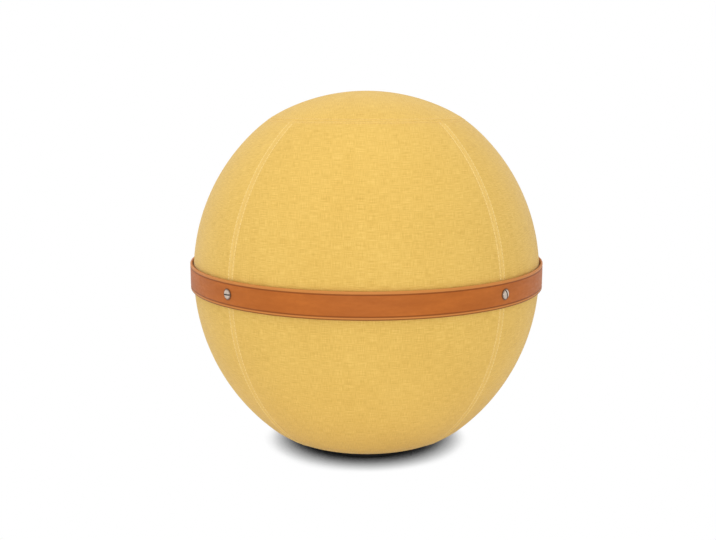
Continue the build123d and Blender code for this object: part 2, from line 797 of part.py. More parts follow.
def main():
    os.makedirs("parts", exist_ok=True)
    save("cover_top_cap", cover_top_cap())
    panel = cover_panel()
    holes = post_holes()
    window = zip_window()
    for name, turn in (("front", 270), ("right", 0), ("back", 90), ("left", 180)):
        cutters = holes + [window] if name in ("right", "back") else holes
        save(f"cover_panel_{name}", about_ball(panel, turn) - cutters)
    save("cap_seam_tape", cap_seam_tape())
    for seam in seam_angles:
        save(f"seam_tape_{seam}", seam_tape(seam))
    save("air_bladder", air_bladder())
    save("valve_plug", valve_plug())
    save("base_sole", base_sole())
    save("base_binding", base_binding())
    save("ballast_bag", ballast_bag())
    save("ballast_pocket", ballast_pocket())
    save("belt_strap", belt_strap())
    save("belt_lining", belt_lining())
    save("belt_screws", grouped([belt_screw(seam) for seam in seam_angles]))
    save("belt_posts", grouped([belt_post(seam) for seam in seam_angles]))
    save("belt_patches", grouped([belt_patch(seam) for seam in seam_angles]))
    for side, name in ((-1, "right"), (1, "left")):
        save(f"zip_tape_{name}", zip_tape(side))
        save(f"zip_teeth_{name}", zip_teeth(side))
    save("zip_stops", grouped(zip_stops()))
    save("zip_slider", zip_slider())
    save("zip_pull", zip_pull())

    pivot = about_ball(Vertex(*lower.point(slider_angle, pin_depth)), zip_seam_angle)
    centre = about_ball(Vertex(lower.centre_r, 0, lower.centre_z), zip_seam_angle)
    print("equator height", equator_height, "top", cap.point(radians(90)).Z)
    print("zip slide axis through", centre.center(), "opens by degrees", degrees(zip_first - slider_angle))
    print("pull axis through", pivot.center(), "slider angle", degrees(slider_angle))


if __name__ == "__main__":
    main()
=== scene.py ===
from math import acos, asin, atan2, cos, hypot, pi, radians, sin, tau

import bmesh
import bpy
import numpy as np
from mathutils import Matrix, Vector

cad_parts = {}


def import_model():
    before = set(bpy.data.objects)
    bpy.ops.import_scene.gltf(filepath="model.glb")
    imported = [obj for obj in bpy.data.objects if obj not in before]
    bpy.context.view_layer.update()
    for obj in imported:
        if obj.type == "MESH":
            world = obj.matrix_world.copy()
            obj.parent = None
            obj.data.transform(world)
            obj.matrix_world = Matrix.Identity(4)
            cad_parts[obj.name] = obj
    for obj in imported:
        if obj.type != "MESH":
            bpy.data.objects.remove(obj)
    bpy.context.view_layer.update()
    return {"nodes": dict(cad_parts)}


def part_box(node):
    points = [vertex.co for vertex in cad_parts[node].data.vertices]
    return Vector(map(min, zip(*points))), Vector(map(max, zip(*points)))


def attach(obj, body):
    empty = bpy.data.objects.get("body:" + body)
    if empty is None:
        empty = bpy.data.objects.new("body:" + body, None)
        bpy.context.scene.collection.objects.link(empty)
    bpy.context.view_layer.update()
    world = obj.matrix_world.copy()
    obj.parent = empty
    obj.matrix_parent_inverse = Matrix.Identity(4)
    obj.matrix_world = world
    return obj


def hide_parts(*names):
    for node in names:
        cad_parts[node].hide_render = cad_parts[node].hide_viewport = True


# A sitting ball: sewn fabric cover, leather belt with slotted screws, weighted black base and a rear zip.
# Metres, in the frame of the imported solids: the origin is on the floor, +Z is up and the front is -Y.

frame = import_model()
nodes = frame["nodes"]

MM = 0.001

# Cover: the outline is as in the solids, and the cloth 0.2 mm thinner
BALL_RADIUS = 275 * MM
CAP_SEAM_RADIUS = 151 * MM
CAP_SEAM_RISE = 246 * MM
CAP_CROWN = 41.5 * MM
KNEE_RADIUS = 165 * MM
KNEE_DROP = 240.5 * MM
UNDER_RADIUS = 115 * MM
HEM_RADIUS = 92 * MM
COVER_THICKNESS = 2.2 * MM
SEAM_ANGLES = {"front_right": 315, "back_right": 45, "back_left": 135, "front_left": 225}
PANEL_ANGLES = {"front": 270, "right": 0, "back": 90, "left": 180}
ZIP_SEAM = "back_right"
OVERLAP_SEAM = "back_left"

# Seams and stitching
SEAM_DEPTH = 0.6 * MM
SEAM_HALF_WIDTH = 0.8 * MM
SEAM_RIDGE = 0.28 * MM
STITCH_OFFSET = 4.8 * MM
STITCH_DIP = 0.3 * MM
STITCH_DIP_WIDTH = 1.1 * MM
STITCH_LENGTH = 4.0 * MM
STITCH_GAP = 1.5 * MM
THREAD_RADIUS = 0.5 * MM
STITCH_ARCH = 0.5 * MM
STITCH_SINK = 0.15 * MM
STITCH_POINTS = 5
# Reach and share of the pale band beside the seams: taut cloth, partly a painted highlight on the seam
# ridge
STRAIN_AND_HIGHLIGHT_REACH = 6.0 * MM
CAP_SEAM_STRAIN_AND_HIGHLIGHT = 0.5
CORNER_EASE = 0.68 * MM
CORNER_REACH = 30 * MM
PUCKER = 0.14 * MM
PUCKER_REACH = 13 * MM
PUCKER_WAVES = (0.0121, 0.0187)

# Weave of the cover
YARN_WIDTH = 0.0007
WEFT_SLUB = 0.016
WARP_SLUB = 0.013
WEAVE_PITCH = 0.0011

# Zip
ZIP_HALF_WINDOW = 5.5 * MM
ZIP_WINDOW_START = 31.5 * MM
ZIP_WINDOW_END = 234 * MM
ZIP_WINDOW_RAMP = 4 * MM
ZIP_TAPE_START = 26 * MM
ZIP_TAPE_END = 236 * MM
ZIP_TAPE_INNER = 3.4 * MM
ZIP_TAPE_OUTER = 13.4 * MM
ZIP_TAPE_DEPTH = 3.0 * MM
ZIP_TAPE_THICKNESS = 0.8 * MM
TEETH_EASE = 0.18 * MM
ZIP_METAL_EASE = 0.2 * MM
PULL_EASE = 0.25 * MM

# Belt
STRAP_INNER = 276.8 * MM
STRAP_THICKNESS = 3.0 * MM
STRAP_EDGE_ROUND = 1.1 * MM
OVERLAP_RISE = 3.2 * MM
OVERLAP_LENGTH = 72 * MM
OVERLAP_RAMP = 70 * MM
STRAP_TIP_ROUND = 14 * MM
CREASE_INSET = 4.8 * MM
CREASE_DEPTH = 0.85 * MM
CREASE_HALF_WIDTH = 0.9 * MM
LIP_FADE = 1.2 * MM
# Painted shade along the strap's lower edge, between these distances from the edge
LOWER_EDGE_SHADE_START = 1.0 * MM
LOWER_EDGE_SHADE_END = 2.6 * MM
# Width of the painted shadow round each screw head on the strap
SCREW_SHADOW_WIDTH = 2.2 * MM
LINING_GAP = 0.3 * MM
LINING_EDGE_ROUND = 0.4 * MM
SCREW_HEAD_RADIUS = 7.75 * MM
SCREW_HEAD_HEIGHT = 3.6 * MM
SCREW_RIM_ROUND = 0.5 * MM
SCREW_DOME_LIFT = 0.1 * MM
SCREW_EDGE_EASE = 0.12 * MM
RIM_SHADE_START = 0.7
RIM_SHADE_FULL = 0.98
SCREW_SLOT_WIDTH = 1.8 * MM
SCREW_SLOT_DEPTH = 2.6 * MM
SCREW_SHANK_RADIUS = 1.5 * MM
SCREW_SHANK_LENGTH = 12 * MM
SLOT_TURNS = {"front_right": -75, "back_right": -15, "back_left": 25, "front_left": 0}
SLOT_TOLERANCE = 0.02 * MM
SNUG_GAP = 0.1 * MM

# Base
BINDING_WIDTH = 6 * MM
BINDING_EDGE_ROUND = 1.0 * MM

# The photograph's camera
CAMERA_DISTANCE = 1.65
CAMERA_ELEVATION = radians(10.3)
CAMERA_LENS = 51.38
CAMERA_SHIFT = (-0.0118, 0.0021)

# Floor and light
FLOOR_SIZE = 30.0
FLOOR_WHITE = 0.98
SHADOW_REACH = 0.06
SHADOW_LEAN_Y = -0.42
SHADOW_LEAN_Z = 0.9
DARKEST_OPENNESS = 0.24
CLEAR_OPENNESS = 0.555
DARKEST_SHADOW = 0.01
AMBIENT_STRENGTH = 0.80

belt_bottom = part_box("belt_strap")[0].z
belt_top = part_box("belt_strap")[1].z
belt_height = (belt_bottom + belt_top) / 2
half_width = (belt_top - belt_bottom) / 2
strap_start = radians(SEAM_ANGLES[OVERLAP_SEAM]) - OVERLAP_LENGTH / 2 / (STRAP_INNER + STRAP_THICKNESS)
strap_turn = tau + OVERLAP_LENGTH / (STRAP_INNER + STRAP_THICKNESS)
crown_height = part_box("cover_top_cap")[1].z
equator_height = crown_height - CAP_CROWN - CAP_SEAM_RISE


# Outline


class Arc:
    """A stretch of the cover's outline, between two angles about a centre in the plane of the axis."""

    def __init__(self, centre_r, centre_z, radius, first, last):
        self.centre_r = centre_r
        self.centre_z = centre_z
        self.radius = radius
        self.first = first
        self.last = last
        self.length = abs(last - first) * radius

    def angle(self, distance):
        turn = np.clip(distance / self.length, 0, 1)
        return self.first + turn * (self.last - self.first)


def side_centre(end_radius, end_height):
    """Centre of the arc that leaves the equator upright and passes through the given end."""
    return (BALL_RADIUS**2 - end_radius**2 - end_height**2) / (2 * (BALL_RADIUS - end_radius))


def cover_outline():
    """The arcs of the side from the cap seam down to the hem, and the arc of the cap from its seam up."""
    upper_centre = side_centre(CAP_SEAM_RADIUS, CAP_SEAM_RISE)
    upper_end = atan2(CAP_SEAM_RISE, CAP_SEAM_RADIUS - upper_centre)
    lower_centre = side_centre(KNEE_RADIUS, KNEE_DROP)
    knee = -atan2(KNEE_DROP, KNEE_RADIUS - lower_centre)
    under_centre = KNEE_RADIUS - UNDER_RADIUS * cos(knee)
    under_height = equator_height - KNEE_DROP - UNDER_RADIUS * sin(knee)
    hem = -acos((HEM_RADIUS - under_centre) / UNDER_RADIUS)
    cap_radius = (CAP_SEAM_RADIUS**2 + CAP_CROWN**2) / (2 * CAP_CROWN)
    cap_centre = crown_height - cap_radius
    cap_start = asin((cap_radius - CAP_CROWN) / cap_radius)
    side = [
        Arc(upper_centre, equator_height, BALL_RADIUS - upper_centre, upper_end, 0),
        Arc(lower_centre, equator_height, BALL_RADIUS - lower_centre, 0, knee),
        Arc(under_centre, under_height, UNDER_RADIUS, knee, hem),
    ]
    return side, Arc(0, cap_centre, cap_radius, cap_start, pi / 2)


side_arcs, cap_arc = cover_outline()
side_length = sum(arc.length for arc in side_arcs)
upper_length = side_arcs[0].length


def along_arcs(arcs, distance):
    """Radius, height and outward direction at distances along joined arcs, as arrays."""
    distance = np.asarray(distance, float)
    radius = np.zeros_like(distance)
    height = np.zeros_like(distance)
    out_r = np.zeros_like(distance)
    out_z = np.zeros_like(distance)
    start = 0.0
    for arc in arcs:
        angle = arc.angle(distance - start)
        here = distance >= start
        radius = np.where(here, arc.centre_r + arc.radius * np.cos(angle), radius)
        height = np.where(here, arc.centre_z + arc.radius * np.sin(angle), height)
        out_r = np.where(here, np.cos(angle), out_r)
        out_z = np.where(here, np.sin(angle), out_z)
        start += arc.length
    return radius, height, out_r, out_z


# Mesh helpers


def placed(name, data):
    """A new object in the scene."""
    obj = bpy.data.objects.new(name, data)
    bpy.context.scene.collection.objects.link(obj)
    return obj


def shade(mesh, smooth):
    mesh.polygons.foreach_set("use_smooth", [smooth] * len(mesh.polygons))


def mesh_object(name, points, faces, material, uv=None, uv_name="Weave", strain_and_ridge_highlight=None):
    mesh = bpy.data.meshes.new(name)
    mesh.from_pydata([tuple(point) for point in points], [], faces)
    if strain_and_ridge_highlight is not None:
        layer = mesh.attributes.new("strain_and_ridge_highlight", "FLOAT", "POINT")
        layer.data.foreach_set("value", np.asarray(strain_and_ridge_highlight, np.float32).ravel())
    if uv is not None:
        layer = mesh.uv_layers.new(name=uv_name)
        corners = np.empty(len(mesh.loops), np.int32)
        mesh.loops.foreach_get("vertex_index", corners)
        layer.data.foreach_set("uv", np.asarray(uv, np.float32)[corners].ravel())
    shade(mesh, True)
    mesh.materials.append(material)
    return placed(name, mesh)


def grid_faces(rows, columns, wrap=False):
    """Quads of a grid of points, with its last column joined to the first where it wraps."""
    faces = []
    for row in range(rows - 1):
        for column in range(columns if wrap else columns - 1):
            after = (column + 1) % columns
            low = row * columns
            high = low + columns
            faces.append((low + column, low + after, high + after, high + column))
    return faces


def around_axis(radius, height, angle):
    return np.stack([radius * np.cos(angle), radius * np.sin(angle), height + 0 * angle], -1)


def lathe(name, profile, material, segments=192):
    """A closed ring or dish from a closed profile of (radius, height) points about the ball's axis."""
    count = len(profile)
    turns = np.arange(segments) * tau / segments
    profile = np.asarray(profile, float)
    radius = profile[:, 0][None, :]
    points = around_axis(radius, profile[:, 1][None, :], turns[:, None]).reshape(-1, 3)
    faces = []
    for segment in range(segments):
        following = (segment + 1) % segments
        for index in range(count):
            after = (index + 1) % count
            faces.append(
                (
                    segment * count + index,
                    following * count + index,
                    following * count + after,
                    segment * count + after,
                )
            )
    return mesh_object(name, points, faces, material, points[:, :2])


def quarter_turn(across, up, radius, start, steps=5):
    """Points of a rounded corner, a quarter of a circle about its centre."""
    points = []
    for step in range(steps + 1):
        angle = start + step * pi / 2 / steps
        points.append((across + radius * cos(angle), up + radius * sin(angle)))
    return points


def rounded_profile(inner, outer, bottom, top, roundness):
    """A rectangle of radius and height with rounded corners, as profile points."""
    corners = [
        (outer - roundness, bottom + roundness, -pi / 2),
        (outer - roundness, top - roundness, 0),
        (inner + roundness, top - roundness, pi / 2),
        (inner + roundness, bottom + roundness, pi),
    ]
    profile = []
    for r, z, start in corners:
        profile += quarter_turn(r, z, roundness, start)
    return profile


def thicken(obj, thickness):
    """Give a cloth surface its thickness, inwards."""
    solid = obj.modifiers.new("thickness", "SOLIDIFY")
    solid.thickness = thickness
    solid.offset = -1


def applied(obj):
    """Replace an object's mesh by what its modifiers make of it."""
    depsgraph = bpy.context.evaluated_depsgraph_get()
    mesh = bpy.data.meshes.new_from_object(obj.evaluated_get(depsgraph))
    obj.modifiers.clear()
    obj.data = mesh


def ease_edges(obj, width, sharp_angle):
    """Add a small bevel along the edges that turn by more than an angle."""
    bevel = obj.modifiers.new("ease", "BEVEL")
    bevel.width = width
    bevel.segments = 2
    bevel.limit_method = "ANGLE"
    bevel.angle_limit = radians(sharp_angle)
    return bevel


def softened(node, name, material, width):
    """A copy of a solid with its sharp edges eased, which stands in for it."""
    mesh = nodes[node].data.copy()
    work = bmesh.new()
    work.from_mesh(mesh)
    bmesh.ops.remove_doubles(work, verts=work.verts, dist=0.002 * MM)
    bmesh.ops.dissolve_limit(work, angle_limit=radians(2), verts=work.verts, edges=work.edges)
    work.to_mesh(mesh)
    work.free()
    mesh.materials.clear()
    mesh.materials.append(material)
    shade(mesh, True)
    obj = placed(name, mesh)
    ease_edges(obj, width, 35).harden_normals = True
    applied(obj)
    return obj


def settle(obj, replaced=(), body="ball"):
    """Ride a finished piece on its body, and hide the solids it stands for."""
    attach(obj, body)
    if replaced:
        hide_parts(*replaced)


# Materials


def linear(red, green, blue):
    """A colour written as it shows on a screen, 0 to 255, for a shader's socket."""
    channels = []
    for value in (red, green, blue):
        share = value / 255
        channels.append(share / 12.92 if share <= 0.04045 else ((share + 0.055) / 1.055) ** 2.4)
    return (*channels, 1.0)


class Finish:
    """A node material with one Principled shader."""

    def __init__(self, name, **constants):
        self.material = bpy.data.materials.new(name)
        self.material.use_nodes = True
        self.tree = self.material.node_tree
        self.shader = self.tree.nodes["Principled BSDF"]
        self.normal = None
        for socket, value in constants.items():
            self.shader.inputs[socket.replace("_", " ")].default_value = value

    def feed(self, socket, value):
        if isinstance(value, bpy.types.NodeSocket):
            self.tree.links.new(value, socket)
        else:
            socket.default_value = value

    def node(self, kind, **settings):
        node = self.tree.nodes.new(kind)
        for key, value in settings.items():
            setattr(node, key, value)
        return node

    def uv(self, name="Weave"):
        return self.node("ShaderNodeUVMap", uv_map=name).outputs["UV"]

    def place(self):
        return self.node("ShaderNodeTexCoord").outputs["Object"]

    def stretched(self, vector, x, y, z=1.0):
        scale = self.node("ShaderNodeVectorMath", operation="MULTIPLY")
        self.feed(scale.inputs[0], vector)
        scale.inputs[1].default_value = (x, y, z)
        return scale.outputs[0]

    def separate(self, vector):
        node = self.node("ShaderNodeSeparateXYZ")
        self.feed(node.inputs[0], vector)
        return node.outputs

    def math(self, operation, first, second=0.0):
        node = self.node("ShaderNodeMath", operation=operation)
        self.feed(node.inputs[0], first)
        self.feed(node.inputs[1], second)
        return node.outputs[0]

    def noise(self, vector, scale, detail=2.0, roughness=0.5):
        node = self.node("ShaderNodeTexNoise")
        self.feed(node.inputs["Vector"], vector)
        node.inputs["Scale"].default_value = scale
        node.inputs["Detail"].default_value = detail
        node.inputs["Roughness"].default_value = roughness
        return node.outputs[0]

    def cells(self, vector, scale, feature="F1"):
        node = self.node("ShaderNodeTexVoronoi", feature=feature)
        self.feed(node.inputs["Vector"], vector)
        node.inputs["Scale"].default_value = scale
        return node.outputs["Distance"]

    def remap(self, value, from_low, from_high, to_low, to_high, smooth=False):
        node = self.node("ShaderNodeMapRange")
        node.interpolation_type = "SMOOTHSTEP" if smooth else "LINEAR"
        self.feed(node.inputs["Value"], value)
        node.inputs["From Min"].default_value = from_low
        node.inputs["From Max"].default_value = from_high
        node.inputs["To Min"].default_value = to_low
        node.inputs["To Max"].default_value = to_high
        return node.outputs[0]

    def mix(self, factor, first, second):
        node = self.node("ShaderNodeMix", data_type="RGBA")
        self.feed(node.inputs["Factor"], factor)
        self.feed(node.inputs[6], first)
        self.feed(node.inputs[7], second)
        return node.outputs[2]

    def colour(self, value):
        self.feed(self.shader.inputs["Base Color"], value)

    def roughness(self, value):
        self.feed(self.shader.inputs["Roughness"], value)

    def bump(self, height, strength, distance):
        node = self.node("ShaderNodeBump")
        node.inputs["Strength"].default_value = strength
        node.inputs["Distance"].default_value = distance
        self.feed(node.inputs["Height"], height)
        if self.normal:
            self.feed(node.inputs["Normal"], self.normal)
        self.normal = node.outputs["Normal"]
        self.feed(self.shader.inputs["Normal"], self.normal)


def woven(finish, uv, thread):
    """Height of a plain weave, one over and one under, with threads of a given width."""
    axes = finish.separate(uv)
    across = finish.math("SINE", finish.math("MULTIPLY", axes[0], pi / thread))
    along = finish.math("SINE", finish.math("MULTIPLY", axes[1], pi / thread))
    return finish.math("MULTIPLY", across, along)


def linen(name, dark, middle, light, sheen):
    """Heavy plain-woven cloth with uneven yarns."""
    finish = Finish(name, Sheen_Weight=sheen, Sheen_Roughness=0.36, Specular_IOR_Level=0.12)
    finish.shader.inputs["Sheen Tint"].default_value = (1.0, 0.96, 0.88, 1.0)
    uv = finish.uv()
    weft = finish.noise(finish.stretched(uv, 1 / WEFT_SLUB, 1 / YARN_WIDTH), 1.0, 1.5)
    warp = finish.noise(finish.stretched(uv, 1 / YARN_WIDTH, 1 / WARP_SLUB), 1.0, 1.5)
    slubs = finish.math("ADD", finish.math("MULTIPLY", weft, 1.15), finish.math("MULTIPLY", warp, 0.85))
    weave = woven(finish, uv, WEAVE_PITCH)
    cloud = finish.noise(uv, 9.0, 3.0)
    tone = finish.remap(slubs, 0.72, 1.28, 0.0, 1.0)
    tone = finish.math("ADD", tone, finish.math("MULTIPLY", weave, 0.10))
    tone = finish.math("ADD", tone, finish.remap(cloud, 0.3, 0.7, -0.10, 0.10))
    shade = finish.mix(finish.remap(tone, 0.0, 0.5, 0.0, 1.0), dark, middle)
    shade = finish.mix(finish.remap(tone, 0.5, 1.0, 0.0, 1.0), shade, light)
    # Pale band beside the seams: taut cloth, partly a painted highlight on the raised seam ridge
    strain_and_ridge_highlight = finish.node("ShaderNodeAttribute", attribute_name="strain_and_ridge_highlight").outputs["Fac"]
    finish.colour(finish.mix(finish.math("MULTIPLY", strain_and_ridge_highlight, 0.4), shade, linear(240, 206, 126)))
    finish.roughness(finish.remap(tone, 0.0, 1.0, 0.95, 0.82))
    finish.bump(slubs, 0.35, 0.0006)
    finish.bump(weave, 0.30, 0.0004)
    return finish.material


def thread(name, dark, light):
    """Twisted sewing thread."""
    finish = Finish(name, Sheen_Weight=0.25, Specular_IOR_Level=0.3)
    place = finish.place()
    strand = finish.noise(place, 2200.0, 2.0)
    finish.colour(finish.mix(finish.remap(strand, 0.3, 0.7, 0.0, 1.0), dark, light))
    finish.roughness(finish.remap(strand, 0.3, 0.7, 0.75, 0.55))
    finish.bump(strand, 0.3, 0.0002)
    return finish.material


def leather(name):
    """Smooth dyed leather with a fine grain, painted shade in the creases and along the lower edge, painted
    highlights beside the creases and painted shadows round the screws.
    """
    finish = Finish(name, Specular_IOR_Level=0.2)
    uv = finish.uv("Strap")
    height = finish.separate(uv)[1]
    across = finish.math("ABSOLUTE", height)
    half = half_width
    grain = finish.cells(uv, 900.0)
    wrinkle = finish.noise(finish.stretched(uv, 90.0, 260.0), 1.0, 4.0, 0.6)
    cloud = finish.noise(finish.stretched(uv, 14.0, 60.0), 1.0, 3.0)
    tone = finish.remap(cloud, 0.3, 0.7, 0.0, 1.0)
    hide = finish.mix(tone, linear(173, 93, 29), linear(189, 105, 36))
    speckle = finish.remap(wrinkle, 0.35, 0.75, 0.0, 0.35)
    hide = finish.mix(speckle, hide, linear(160, 84, 25))
    # Painted highlight on the raised bands between each crease and its edge
    lip_highlight = finish.remap(across, half - CREASE_INSET, half - CREASE_INSET + LIP_FADE, 0.0, 0.75, True)
    hide = finish.mix(lip_highlight, hide, linear(206, 136, 68))
    # Painted shade in the crease grooves
    crease = finish.math("ABSOLUTE", finish.math("SUBTRACT", across, half - CREASE_INSET))
    crease_shade = finish.remap(crease, 0.6 * CREASE_HALF_WIDTH, 1.8 * CREASE_HALF_WIDTH, 0.8, 0.0, True)
    hide = finish.mix(crease_shade, hide, linear(138, 72, 20))
    # Painted shade on the downward-facing lower edge of the strap
    edge = finish.remap(height, -half + LOWER_EDGE_SHADE_START, -half + LOWER_EDGE_SHADE_END, 0.9, 0.0, True)
    hide = finish.mix(edge, hide, linear(128, 70, 20))
    # Painted shadow in a ring round each screw head
    ring_end = SCREW_HEAD_RADIUS + SCREW_SHADOW_WIDTH
    for angle in SEAM_ANGLES.values():
        away = (radians(angle) - strap_start) % tau * (STRAP_INNER + STRAP_THICKNESS)
        apart = finish.node("ShaderNodeVectorMath", operation="DISTANCE")
        finish.feed(apart.inputs[0], uv)
        apart.inputs[1].default_value = (away, 0, 0)
        ring = finish.remap(apart.outputs["Value"], SCREW_HEAD_RADIUS, ring_end, 0.7, 0.0, True)
        hide = finish.mix(ring, hide, linear(118, 64, 26))
    finish.colour(hide)
    finish.roughness(finish.remap(wrinkle, 0.3, 0.7, 0.42, 0.56))
    finish.bump(grain, 0.12, 0.0003)
    finish.bump(wrinkle, 0.15, 0.0004)
    return finish.material


def metal(name, tint, low, high, rim_shade_tint=None):
    """Plated metal with faint handling marks and, where a rim colour is given, painted reflection and shade
    darkening it towards the rim.
    """
    finish = Finish(name, Metallic=1.0)
    place = finish.place()
    smear = finish.noise(place, 180.0, 4.0)
    scratch = finish.noise(finish.stretched(place, 300.0, 2400.0, 900.0), 1.0, 2.0)
    plate = finish.mix(finish.remap(smear, 0.3, 0.7, 0.0, 1.0), tint, linear(188, 178, 166))
    if rim_shade_tint:
        rim = finish.node("ShaderNodeAttribute", attribute_name="rim").outputs["Fac"]
        # Painted brown reflection and shade towards the rim
        plate = finish.mix(finish.remap(rim, RIM_SHADE_START, RIM_SHADE_FULL, 0.0, 1.0), plate, rim_shade_tint)
    finish.colour(plate)
    finish.roughness(finish.remap(smear, 0.3, 0.7, low, high))
    finish.bump(scratch, 0.04, 0.0001)
    return finish.material


def moulded(name, dark, light, low, high, grain=700.0, strength=0.2):
    """Moulded rubber or plastic with a fine sparked surface."""
    finish = Finish(name, Specular_IOR_Level=0.4)
    place = finish.place()
    fine = finish.noise(place, grain, 3.0)
    cloud = finish.noise(place, 22.0, 3.0)
    finish.colour(finish.mix(finish.remap(cloud, 0.3, 0.7, 0.0, 1.0), dark, light))
    finish.roughness(finish.remap(fine, 0.3, 0.7, low, high))
    finish.bump(fine, strength, 0.0003)
    return finish.material


def webbing(name, dark, light, thread_width=0.0009):
    """Narrow woven tape."""
    finish = Finish(name, Sheen_Weight=0.15, Specular_IOR_Level=0.2)
    place = finish.place()
    ribs = finish.math("SINE", finish.math("MULTIPLY", finish.separate(place)[2], tau / thread_width))
    fibre = finish.noise(place, 900.0, 3.0)
    rib_tone = finish.remap(ribs, -1.0, 1.0, 0.2, 0.8)
    tone = finish.math("ADD", rib_tone, finish.remap(fibre, 0.3, 0.7, -0.2, 0.2))
    finish.colour(finish.mix(tone, dark, light))
    finish.roughness(finish.remap(fibre, 0.3, 0.7, 0.8, 0.95))
    finish.bump(ribs, 0.25, 0.0003)
    return finish.material


FABRIC = linen("mustard linen", linear(213, 172, 85), linear(226, 186, 95), linear(236, 199, 110), 0.27)
THREAD = thread("pale thread", linear(240, 206, 126), linear(250, 224, 152))
CAP_THREAD = thread("mustard thread", linear(234, 196, 108), linear(242, 208, 124))
LEATHER = leather("tan leather")
SUEDE = moulded("tan suede", linear(150, 96, 50), linear(166, 110, 62), 0.9, 0.98, 1400.0, 0.5)
NICKEL = metal("nickel plate", linear(186, 172, 158), 0.22, 0.34)
# Screw heads: a plate lighter and warmer than the posts' nickel, a painted highlight and reflection of the
# leather and cloth, with painted brown reflection and shade at the rim
SCREW_NICKEL = metal("nickel screw", linear(214, 194, 178), 0.22, 0.34, linear(104, 74, 56))
SLOT_SHADE = moulded("dark slot", linear(44, 30, 20), linear(60, 42, 28), 0.7, 0.9, 900.0, 0.1)
ZIP_METAL = metal("satin zip metal", linear(196, 192, 184), 0.28, 0.42)
RUBBER = moulded("black rubber", linear(16, 16, 17), linear(28, 28, 29), 0.62, 0.85, 600.0, 0.3)
BINDING = webbing("black binding tape", linear(18, 18, 19), linear(34, 34, 36))
ZIP_TAPE = webbing("mustard zip tape", linear(196, 150, 70), linear(224, 180, 92))
ZIP_TEETH = moulded("mustard zip teeth", linear(206, 158, 72), linear(220, 174, 86), 0.35, 0.5, 900.0, 0.08)
INNER_TAPE = webbing("pale seam tape", linear(205, 196, 176), linear(226, 218, 200))
VINYL = moulded("grey vinyl", linear(128, 132, 136), linear(146, 150, 154), 0.35, 0.5, 300.0, 0.1)
PLUG = moulded("white plug plastic", linear(214, 214, 210), linear(228, 228, 224), 0.4, 0.5, 800.0, 0.08)
CANVAS = webbing("sand bag canvas", linear(150, 138, 112), linear(172, 160, 132), 0.0012)


# Cover

NEAR_SEAM = np.array([0, 0.35, 0.7, 1.1, 1.6, 2.2, 2.9, 3.6, 4.2, 4.8, 5.4, 6.0, 6.8, 8, 10, 13, 17]) * MM
PANEL_COLUMNS = 40
PANEL_ROWS = 190
CAP_SEGMENTS = 256
CAP_ROWS = 40


def seam_relief(distance):
    """Height of the cloth at a distance from a seam: a valley, a ridge and the pull of the stitches."""
    valley = -SEAM_DEPTH * np.exp(-((distance / SEAM_HALF_WIDTH) ** 2))
    ridge = SEAM_RIDGE * np.sin(pi * np.clip(distance / STITCH_OFFSET, 0, 1))
    dip = -STITCH_DIP * np.exp(-(((distance - STITCH_OFFSET) / STITCH_DIP_WIDTH) ** 2))
    return valley + ridge + dip


def corner_ease(travel):
    """How far the seams draw the cloth in where cap and sides meet, so that the outline turns smoothly."""
    return -CORNER_EASE * np.clip(1 - travel / CORNER_REACH, 0, 1) ** 2


def strain_and_highlight_beside(distance):
    """How far the cloth is drawn tight, and so paler, at a distance from a seam, with a painted highlight
    on the seam's raised ridge.
    """
    return np.exp(-((distance / STRAIN_AND_HIGHLIGHT_REACH) ** 4))


def pucker(distance, travel, phase):
    """Slight ripples that the stitching draws into the cloth beside a seam."""
    short, long = PUCKER_WAVES
    wave = np.sin(tau * travel / short + phase) + 0.7 * np.sin(tau * travel / long + 2.3 * phase)
    return PUCKER * wave * np.exp(-distance / PUCKER_REACH)


def smooth_step(value):
    share = np.clip(value, 0, 1)
    return share * share * (3 - 2 * share)


def window_inset(travel):
    """How far a panel's edge stands back from its seam for the zip, at distances down from the cap seam."""
    below_equator = np.asarray(travel, float) - upper_length
    opening = smooth_step((below_equator - ZIP_WINDOW_START + ZIP_WINDOW_RAMP) / ZIP_WINDOW_RAMP)
    closing = smooth_step((ZIP_WINDOW_END + ZIP_WINDOW_RAMP - below_equator) / ZIP_WINDOW_RAMP)
    return ZIP_HALF_WINDOW * opening * closing


def edge_inset(seam, travel):
    if seam == ZIP_SEAM:
        return window_inset(travel)
    return 0 * np.asarray(travel, float)


def beside_seam(seam, side, travel, distance, lift=0.0):
    """A point of the side cover, at a distance from a panel's edge at a seam."""
    travel = np.asarray(travel, float)
    radius, height, out_r, out_z = along_arcs(side_arcs, travel)
    turn = radians(SEAM_ANGLES[seam]) + side * (edge_inset(seam, travel) + distance) / radius
    rise = seam_relief(distance) + seam_relief(travel) + corner_ease(travel) + lift
    return around_axis(radius + out_r * rise, height + out_z * rise, turn), out_r, out_z, turn


def panel_rows(has_zip):
    """Distances down from the cap seam, closer together at the seam, the hem and the ends of the zip."""
    even = np.linspace(NEAR_SEAM[-1], side_length - NEAR_SEAM[-1], PANEL_ROWS)
    rows = [NEAR_SEAM[:-1], even, side_length - NEAR_SEAM[:-1]]
    if has_zip:
        ramp = np.linspace(0, ZIP_WINDOW_RAMP, 9)
        rows.append(upper_length + ZIP_WINDOW_START - ramp)
        rows.append(upper_length + ZIP_WINDOW_END + ramp)
    return np.unique(np.round(np.concatenate(rows), 6))


